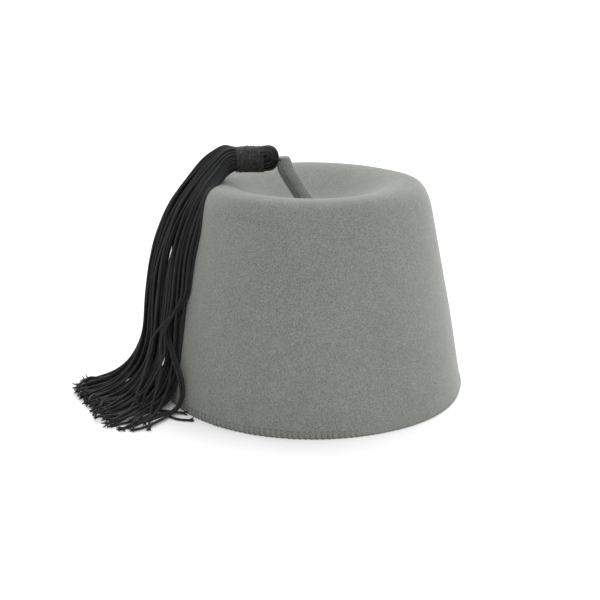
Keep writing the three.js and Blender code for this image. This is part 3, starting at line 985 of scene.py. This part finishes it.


# %% [markdown]
# Seven cords at the front stray from the fan, and they catch the eye, so each has its own route:
# the stretch below the last point that it shares with the others, given in millimetres.

# %% Stray cords
STRAYS = [
    [(-80.4, -40, 44), (-77.6, -46, 33), (-74.4, -52, 26), (-71.2, -57.6, 19), (-69.8, -61.2, 12.5),
     (-70.8, -63.2, 6.5), (-74.2, -66, 2.6), (-78.6, -72, 1.8), (-84.4, -82, 1.5), (-90, -88, 1.2),
     (-94.4, -89.6, 1)],
    [(-81.4, -41.2, 43), (-78.8, -47.1, 32.4), (-75.8, -53, 25), (-72.8, -58.8, 17.8),
     (-71.4, -62.2, 11.5), (-72.4, -64.2, 5.6), (-76, -67.4, 2.6), (-81.6, -73.5, 2.4),
     (-88.5, -80, 2), (-95.5, -84.6, 1.5), (-100.4, -87.4, 1)],
    [(-81.5, -46, 42), (-80.4, -51, 33), (-83.6, -56, 24), (-88.6, -59.4, 15.5), (-92.6, -60.6, 8),
     (-92.2, -62, 3.6), (-86, -63.4, 2.2), (-78, -63.8, 1.6), (-70.4, -65.2, 1.2)],
    [(-84, -44, 36), (-84.6, -48, 24), (-86.4, -53, 12), (-86.6, -57.5, 4), (-83.2, -61.5, 1),
     (-80.4, -66.2, 0.9), (-76.2, -71.2, 0.9), (-72, -74.8, 0.9), (-66.9, -75.3, 0.9)],
    [(-81, -39.6, 44.5), (-78.2, -45.2, 33.4), (-75.2, -51, 26.2), (-72.3, -56.6, 19),
     (-70.6, -60.4, 12.4), (-71.4, -62.4, 6.2), (-74.3, -66.8, 2.8), (-80.6, -67.8, 1.8),
     (-87, -70.4, 1.3), (-92, -78.6, 1), (-96.6, -81.4, 1), (-99.5, -87.1, 1)],
    [(-83, -47.5, 40), (-82.6, -53.6, 28), (-83.6, -60, 18), (-85.6, -64.4, 11), (-87.3, -66.6, 6),
     (-87.7, -70, 3), (-87.2, -76.4, 1.8), (-86.9, -81.8, 1.3), (-86.1, -88.1, 1)],
    [(-87.4, -48.5, 40), (-89.6, -55.4, 29), (-92, -62.2, 20.5), (-94.6, -67.2, 14),
     (-96.2, -69.6, 9.6), (-95.8, -69.6, 7.6), (-94.2, -68.8, 6.8), (-92.6, -67.6, 6.8)],
]
# Which cord takes each route, counted from the one that falls nearest the felt and the front
STRAY_PLACES = (0, 2, 1, 4, 3, 6, 8)
# A route takes over this far above its first point, and no fan edge cuts it short
STRAY_BLEND = 16
STRAY_REACH = 200
GUIDE_POINTS = 112


def stray_guide(hanging, route):
    cut = int(np.argmax(hanging[:, 2] < route[0][2] + STRAY_BLEND))
    tail = smooth_through(np.vstack([hanging[cut - 1], route]), np.linspace(0, 1, 60))
    return np.vstack([hanging[:cut], tail[1:]])


def build_guides(seed=11):
    rng = np.random.default_rng(seed)
    starts = np.vstack([doubled, doubled * (1, -1)]) / PACKED_RADIUS
    starts = np.stack([-starts[:, 1], starts[:, 0]], 1)
    ends = turned(starts)
    clumps = clump_centres(ends, CLUMPS)
    strays = np.argsort(-(ends[:, 0] - ends[:, 1]))[list(STRAY_PLACES)]
    guides, lengths, reaches = [], [], []
    for cord, start in enumerate(starts):
        if cord in strays:
            hanging = hanging_guide(start, ends[cord], (0, 1, 0, 0))
            path, reach = stray_guide(hanging, STRAYS[list(strays).index(cord)]), STRAY_REACH
        else:
            path, reach = cord_guide(start, clumps[cord], rng)
        lengths.append(walk_along(path)[-1])
        reaches.append(reach)
        guides.append(even_points(path, POINT_SPACING, GUIDE_POINTS))
    return np.array(guides), np.array(lengths), np.array(reaches), strays


guides, cord_lengths, fan_reaches, stray_cords = build_guides()
print("guides:", guides.shape)

# %% [markdown]
# Guides alone would pass through one another. A short position-based simulation lets the cords
# find room: at each pass every cord keeps its length, resists bending, sinks a little under its
# weight, and is pushed out of its neighbours, the felt and the table, while a weak pull keeps it
# near its guide. Cords in the binding do not move.

# %% Contacts
# Points this many places apart on one strand are neighbours and do not push each other
NEIGHBOURS = 3


def near_pairs(points, reach, strand_of, station_of):
    """Pairs of points closer than reach that are not neighbours on one strand, by a grid of cells."""
    cells = np.floor((points - points.min(0)) / reach).astype(np.int64) + 1
    size = cells.max(0) + 2
    keys = (cells[:, 0] * size[1] + cells[:, 1]) * size[2] + cells[:, 2]
    order = np.argsort(keys, kind="stable")
    ordered = keys[order]
    steps = (-1, 0, 1)
    firsts, seconds = [], []
    for x, y, z in [(x, y, z) for x in steps for y in steps for z in steps if (x, y, z) >= (0, 0, 0)]:
        wanted = keys + (x * size[1] + y) * size[2] + z
        begin = np.searchsorted(ordered, wanted, "left")
        end = np.searchsorted(ordered, wanted, "right")
        counts = end - begin
        first = np.repeat(np.arange(len(points)), counts)
        within = np.arange(counts.sum()) - np.repeat(np.cumsum(counts) - counts, counts)
        second = order[np.repeat(begin, counts) + within]
        if (x, y, z) == (0, 0, 0):
            keep = first < second
            first, second = first[keep], second[keep]
        firsts.append(first)
        seconds.append(second)
    first, second = np.concatenate(firsts), np.concatenate(seconds)
    far = strand_of[first] != strand_of[second]
    far |= np.abs(station_of[first] - station_of[second]) > NEIGHBOURS
    close = np.linalg.norm(points[first] - points[second], axis=1) < reach
    keep = far & close
    return first[keep], second[keep]


crown_curve = np.vstack(crown_outline(30, 16, 24)) / MM
crown_ways = np.gradient(crown_curve, axis=0)
crown_normals = np.stack([crown_ways[:, 1], -crown_ways[:, 0]], 1)
crown_normals /= np.linalg.norm(crown_normals, axis=1, keepdims=True) + 1e-9


def push_off_felt(points, clearance):
    """Moves points, in millimetres, out to a clearance from the crown's outer surface."""
    rise = np.clip(points[:, 2] * MM / CREST_HEIGHT, 0, 1)
    ratio = OVAL_AT_BASE + (OVAL_AT_CREST - OVAL_AT_BASE) * rise
    flat = np.stack([np.hypot(points[:, 0], points[:, 1] / ratio), points[:, 2]], 1)
    away = ((flat[:, None] - crown_curve[None]) ** 2).sum(2)
    nearest = away.argmin(1)
    normal = crown_normals[nearest]
    outside = ((flat - crown_curve[nearest]) * normal).sum(1)
    short = np.clip(clearance - outside, 0, None)
    moved = flat + normal * short[:, None]
    grow = np.where(flat[:, 0] > 1e-6, moved[:, 0] / np.maximum(flat[:, 0], 1e-6), 1)
    points[:, 0] *= grow
    points[:, 1] *= grow
    points[:, 2] = moved[:, 1]


# %% [markdown]
# Now the passes themselves. Cords that almost touch cling a little, as spun yarn does, which
# closes thin gaps. Stray cords follow their routes more closely and yield less to the others.

# %% Letting the cords find room
# Shares of a fault that one pass puts right, kept small so that nothing jumps
GUIDE_PULL = 0.02
STRAY_PULL = 0.15
STRAY_YIELD = 0.3
STIFFNESS = 0.35
PUSH = 0.3
CLING = 0.008
# Room between two cords' middles, in cord radii, and the points of a cord that the binding holds
ROOM = 2.04
HELD_POINTS = 3
# Lengths in millimetres; cords above the felt's top need no push off it
CLING_REACH = 0.7
SEARCH_MARGIN = 0.4
FELT_GAP = 0.15
FELT_TOP = 122
SINK = 0.012


def relax(guides, strays, passes):
    cords, stations = guides.shape[:2]
    cloud = guides.copy()
    strand_of = np.repeat(np.arange(cords), stations)
    station_of = np.tile(np.arange(stations), cords)
    room = ROOM * CORD_RADIUS / MM
    pull = np.full((cords, 1, 1), GUIDE_PULL)
    pull[strays] = STRAY_PULL
    yields = np.ones(cords)
    yields[strays] = STRAY_YIELD
    yields = np.repeat(yields, stations)
    held = HELD_POINTS
    for step in range(passes):
        flat = cloud.reshape(-1, 3)
        if step % 6 == 0:
            first, second = near_pairs(flat, room + CLING_REACH + SEARCH_MARGIN, strand_of, station_of)
        cloud[:, held:] += (guides - cloud)[:, held:] * pull
        cloud[:, held:, 2] -= SINK
        bend = 0.5 * (cloud[:, :-2] + cloud[:, 2:]) - cloud[:, 1:-1]
        cloud[:, 1:-1][:, held:] += STIFFNESS * bend[:, held:]
        gap = flat[first] - flat[second]
        distance = np.linalg.norm(gap, axis=1) + 1e-9
        near = distance < room + CLING_REACH
        strength = np.where(distance < room, PUSH, CLING)[near]
        push = gap[near] * (strength * (room - distance[near]) / distance[near])[:, None]
        np.add.at(flat, first[near], push * yields[first[near], None])
        np.add.at(flat, second[near], -push * yields[second[near], None])
        if step % 2 == 0:
            low = flat[:, 2] < FELT_TOP
            part = flat[low]
            push_off_felt(part, CORD_RADIUS / MM + FELT_GAP)
            flat[low] = part
        np.maximum(flat[:, 2], CORD_RADIUS / MM, out=flat[:, 2])
        cloud[:, :held] = guides[:, :held]
        for parity in (0, 1):
            a = cloud[:, parity:-1:2]
            b = cloud[:, parity + 1 :: 2]
            way = b - a
            length = np.linalg.norm(way, axis=2, keepdims=True) + 1e-9
            fix = way * (0.5 * (length - POINT_SPACING) / length)
            a += fix
            b -= fix
        cloud[:, :held] = guides[:, :held]
    return cloud


RELAX_PASSES = 260
skirt = relax(guides, stray_cords, RELAX_PASSES)
print("moved by up to", round(float(np.linalg.norm(skirt - guides, axis=2).max()), 1), "mm")

# %% [markdown]
# Now the halves are joined. Each doubled cord is one strand: up one relaxed leg, round the eye in
# the head as a U, and down the other leg. Two rounds of averaging soften the joints, and all the
# cords are swept into one mesh. Each cord is a little thicker or thinner than the next.

# %% Doubled cords as one mesh
LEG_POINTS = 92
HEAD_FLARE = 1.2
SMALLEST_LOOP = 1.35
NECK_SWELL = (1.05, 0.98, 0.97, 0.97)
CUT_BELOW = 14
THICKNESS_UNEVENNESS = 0.05


def resample(path, count):
    walked = walk_along(path)
    along = np.linspace(0, walked[-1], count)
    return np.stack([np.interp(along, walked, path[:, k]) for k in range(3)], 1)


def head_path(depth, height):
    """The U of one doubled cord, from its upper leg in the binding round the eye to its lower leg."""
    axis, eye = HEAD_AXIS_HEIGHT / MM, LOOP_EYE_X / MM
    left = SKIRT_SECTIONS[0, 0]
    high = max(height * HEAD_FLARE, SMALLEST_LOOP)
    raised = EYE_RISE * (1 - (height / (PACKED_RADIUS / MM)) ** 2)
    upper = [(left + 1.5 + 3 * k, depth * s, axis + height * s) for k, s in enumerate(NECK_SWELL)]
    upper += [(eye - 1.6, depth * 1.04, axis + 0.5 * (1.02 * height + high + raised))]
    loop = []
    for turn in np.linspace(math.pi / 2, -math.pi / 2, 13):
        out = abs(math.cos(turn)) ** 0.8
        up = math.copysign(abs(math.sin(turn)) ** 0.9, turn)
        loop.append((eye + high * out, depth * HEAD_FLARE, axis + raised + high * up))
    lower = [(eye - 1.6, depth * 1.04, axis - 0.5 * (1.02 * height + high - raised))]
    lower += [(x, y, 2 * axis - z) for x, y, z in reversed(upper[:4])]
    return np.array(upper + loop + lower)


def cut_cord(cord):
    """A relaxed cord up to its own length, or to where it reaches the fan's edge on the table."""
    path = skirt[cord]
    keep = int(round(cord_lengths[cord] / POINT_SPACING)) + 1
    over = np.hypot(path[:, 0] - FAN_PIVOT[0], path[:, 1] - FAN_PIVOT[1]) > fan_reaches[cord]
    over &= path[:, 2] < CUT_BELOW
    if over.any():
        keep = min(keep, int(np.argmax(over)))
    return path[:keep]


def build_cords(seed=17):
    half = len(doubled)
    paths = []
    for cord, (depth, height) in enumerate(doubled / MM):
        upper = resample(cut_cord(cord), LEG_POINTS)[::-1]
        lower = resample(cut_cord(cord + half), LEG_POINTS)
        paths.append(np.vstack([upper, head_path(depth, height), lower]))
    paths = np.array(paths) * MM
    for _ in range(2):
        paths[:, 1:-1] = 0.25 * paths[:, :-2] + 0.5 * paths[:, 1:-1] + 0.25 * paths[:, 2:]
    rng = np.random.default_rng(seed)
    unevenness = rng.uniform(-THICKNESS_UNEVENNESS, THICKNESS_UNEVENNESS, (half, 1))
    return paths, CORD_RADIUS * (1 + unevenness)


cord_paths, cord_radii = build_cords()
doubled_lengths = np.linalg.norm(np.diff(cord_paths, axis=1), axis=2).sum(1) / MM
length_range = [round(float(v)) for v in np.percentile(doubled_lengths, (0, 50, 100))]
print("doubled cords are", length_range, "mm long")
tassel_cords = sweep_strands("tassel_cords", cord_paths, cord_radii, sides=8)
settle(tassel_cords, "tassel", "black_cord", "tassel")

# %% [markdown]
# A cut cord springs open: its end frays into a few short yarns that splay and curl. Each yarn is a
# short tapering strand, placed at the end of its cord and bent away from the cord's own line.

# %% Frayed ends
YARNS_PER_END = 4
YARN_SHARES = (-0.35, 0.0, 0.35, 0.7, 1.0)
YARN_RADII = np.array([0.46, 0.48, 0.45, 0.38, 0.22]) * MM
YARN_OFFSET = 0.22 * MM


def build_frayed_ends(seed=23):
    rng = np.random.default_rng(seed)
    ends = np.vstack([cord_paths[:, 0], cord_paths[:, -1]])
    ways = np.vstack([cord_paths[:, 0] - cord_paths[:, 2], cord_paths[:, -1] - cord_paths[:, -3]])
    ways /= np.linalg.norm(ways, axis=1, keepdims=True)
    yarns = []
    for end, way in zip(ends, ways):
        side_way = np.cross(way, (0, 0, 1.0))
        side_way /= np.linalg.norm(side_way) + 1e-9
        up_way = np.cross(side_way, way)
        turn_start = rng.uniform(0, 2 * math.pi)
        for yarn in range(YARNS_PER_END):
            turn = turn_start + 2 * math.pi * yarn / YARNS_PER_END + rng.uniform(-0.5, 0.5)
            splay = side_way * math.cos(turn) + up_way * math.sin(turn)
            length = rng.uniform(1.8, 3.4) * MM
            open_out = rng.uniform(0.5, 1.3)
            path = []
            for share in YARN_SHARES:
                lift = open_out * max(share, 0) ** 1.3
                out = way * share * (1 - 0.25 * open_out) + splay * lift * 0.8
                path.append(end + out * length + splay * YARN_OFFSET)
            yarns.append(path)
    yarns = np.array(yarns)
    yarns[..., 2] = np.maximum(yarns[..., 2], YARN_RADII)
    return sweep_strands("frayed_ends", yarns, YARN_RADII[None], sides=5)


frayed_ends = build_frayed_ends()
settle(frayed_ends, "tassel", "black_cord")

# %% [markdown]
# The binding is one thread in nineteen close turns, so it is a helix swept once. A little
# wander in its pitch and radius keeps the turns from looking machined. At its left end the cords
# swell out of it and press the first turns back at the front and at the rear.

# %% Binding
BINDING_TURNS = 19
POINTS_PER_TURN = 48
BINDING_PRESS = 1.3 * MM
PRESSED_TURNS = 6
TAPERED_TURNS = 7
BINDING_TAPER = 0.25 * MM
THREAD_WANDER = 0.25 * MM
THREAD_DRIFT = 0.16 * MM


def build_binding(seed=31):
    rng = np.random.default_rng(seed)
    length = binding_high.x - binding_low.x + 0.9 * MM
    thread = length / BINDING_TURNS / 2
    turns = np.linspace(0, BINDING_TURNS, BINDING_TURNS * POINTS_PER_TURN)
    knots = rng.uniform(-1, 1, (3, 3 * BINDING_TURNS + 2))
    wander, drift, swell = (np.interp(3 * turns, np.arange(3 * BINDING_TURNS + 2), k) for k in knots)
    taper = BINDING_TAPER * ease(1 - turns / TAPERED_TURNS)
    radius = BINDING_RADIUS + 0.25 * MM - thread - taper + wander * THREAD_WANDER
    angle = 2 * math.pi * turns
    pressed = BINDING_PRESS * ease(1 - turns / PRESSED_TURNS) * np.abs(np.cos(angle)) ** 1.5
    x = binding_low.x + 1.2 * thread + (length - 2.2 * thread) * turns / BINDING_TURNS
    x = x + THREAD_DRIFT * drift + pressed
    height = HEAD_AXIS_HEIGHT - taper - 0.15 * MM + radius * np.sin(angle)
    path = np.stack([x, radius * np.cos(angle), height], 1)
    radii = thread * (1.04 + 0.12 * swell)
    return sweep_strands("bound_thread", path[None], radii[None], sides=9)


bound_thread = build_binding()
settle(bound_thread, "tassel_binding", "black_thread", "tassel_binding")

# %% [markdown]
# The tie cord is a closed ring. It goes through the eye of the doubled cords, round both sides of
# their ends and through the hole in the stalk's tip. Its near half is a few points, the far half
# is their mirror image, and a smooth curve through all of them is swept as one closed strand.

# %% Tie cord
TIE_RADIUS = 0.42 * MM
# Along the way from the eye to the hole, as a share, and out to the side, in millimetres
TIE_POINTS = [
    (0.00, 0.0), (0.00, 5.0), (0.04, 7.6), (0.25, 8.1), (0.50, 7.2), (0.74, 5.7), (0.92, 4.4),
    (1.00, 2.6), (1.00, 0.0),
]
CURVE_POINTS = 240


def build_tie():
    eye = np.array((LOOP_EYE_X + 0.5 * MM, 0, HEAD_AXIS_HEIGHT + EYE_RISE * MM))
    hole = np.array(TIE_HOLE)
    near = []
    for along, out in TIE_POINTS:
        place = eye + (hole - eye) * along
        near.append((place[0], -out * MM, place[2]))
    far = [(x, -y, z) for x, y, z in reversed(near[1:-1])]
    ring = np.array(near + far)
    around = np.vstack([ring[-2:], ring, ring[:3]])
    share = np.linspace(0, 1, CURVE_POINTS)
    place = share * (len(around) - 1)
    path = smooth_through(around, share)[(place >= 2) & (place < 2 + len(ring))]
    around_once = np.linalg.norm(np.roll(path, -1, 0) - path, axis=1).sum()
    print("the tie cord is", round(float(around_once) / MM, 1), "mm round")
    path = resample(path, 96)
    return sweep_strands("tie_cord_loop", path[None], TIE_RADIUS, sides=10, closed=True)


tie_cord_loop = build_tie()
settle(tie_cord_loop, "tie_cord", "black_tie_cord", "tie_cord")

# %% [markdown]
# The hat stands on a plain white table that runs out of the picture. The light is that of a
# photographer's tent: a little white from all round and a broad soft light on each of its four
# sides, so that nothing throws a hard shadow. The rear one is strongest and the left one weakest,
# which leaves the left of the crown in shade. The camera sees the tent itself as plain white.

# %% Table and light
bpy.ops.object.select_all(action="DESELECT")
bpy.ops.mesh.primitive_plane_add(size=40, location=(0, 8, 0))
table = bpy.context.object
table.name = "table"
table_material = bpy.data.materials.new("white_table")
table_material.use_nodes = True
table_shader = table_material.node_tree.nodes["Principled BSDF"]
table_shader.inputs["Base Color"].default_value = (0.94, 0.94, 0.94, 1)
table_shader.inputs["Roughness"].default_value = 0.9
table.data.materials.append(table_material)

TENT_GLOW = 0.28
LIGHT_SPREAD = math.radians(60)
TENT_SIDES = [
    {"name": "right_light", "direction": (1.0, 0.0, 1.0), "strength": 1.2},
    {"name": "rear_light", "direction": (0.0, 1.0, 1.0), "strength": 2.5},
    {"name": "left_light", "direction": (-1.0, 0.0, 1.0), "strength": 0.3},
    {"name": "front_light", "direction": (0.0, -1.0, 1.0), "strength": 1.32},
]


def add_tent_side(name, direction, strength):
    bpy.ops.object.light_add(type="SUN", location=direction)
    lamp = bpy.context.object
    lamp.name = name
    lamp.data.energy = strength
    lamp.data.angle = LIGHT_SPREAD
    lamp.rotation_mode = "QUATERNION"
    lamp.rotation_quaternion = (-Vector(direction)).to_track_quat("-Z", "Y")


world = bpy.data.worlds.new("tent")
world.use_nodes = True
tent = world.node_tree.nodes["Background"]
tent.inputs["Color"].default_value = (1, 1, 1, 1)
seen = world.node_tree.nodes.new("ShaderNodeLightPath").outputs["Is Camera Ray"]
glow = math_node(world.node_tree, "MULTIPLY_ADD", seen, 1 - TENT_GLOW, TENT_GLOW)
world.node_tree.links.new(glow, tent.inputs["Strength"])
bpy.context.scene.world = world
for tent_side in TENT_SIDES:
    add_tent_side(**tent_side)
bpy.context.scene.view_settings.view_transform = "Standard"
bpy.context.scene.view_settings.look = "None"
print("lights:", [tent_side["name"] for tent_side in TENT_SIDES])
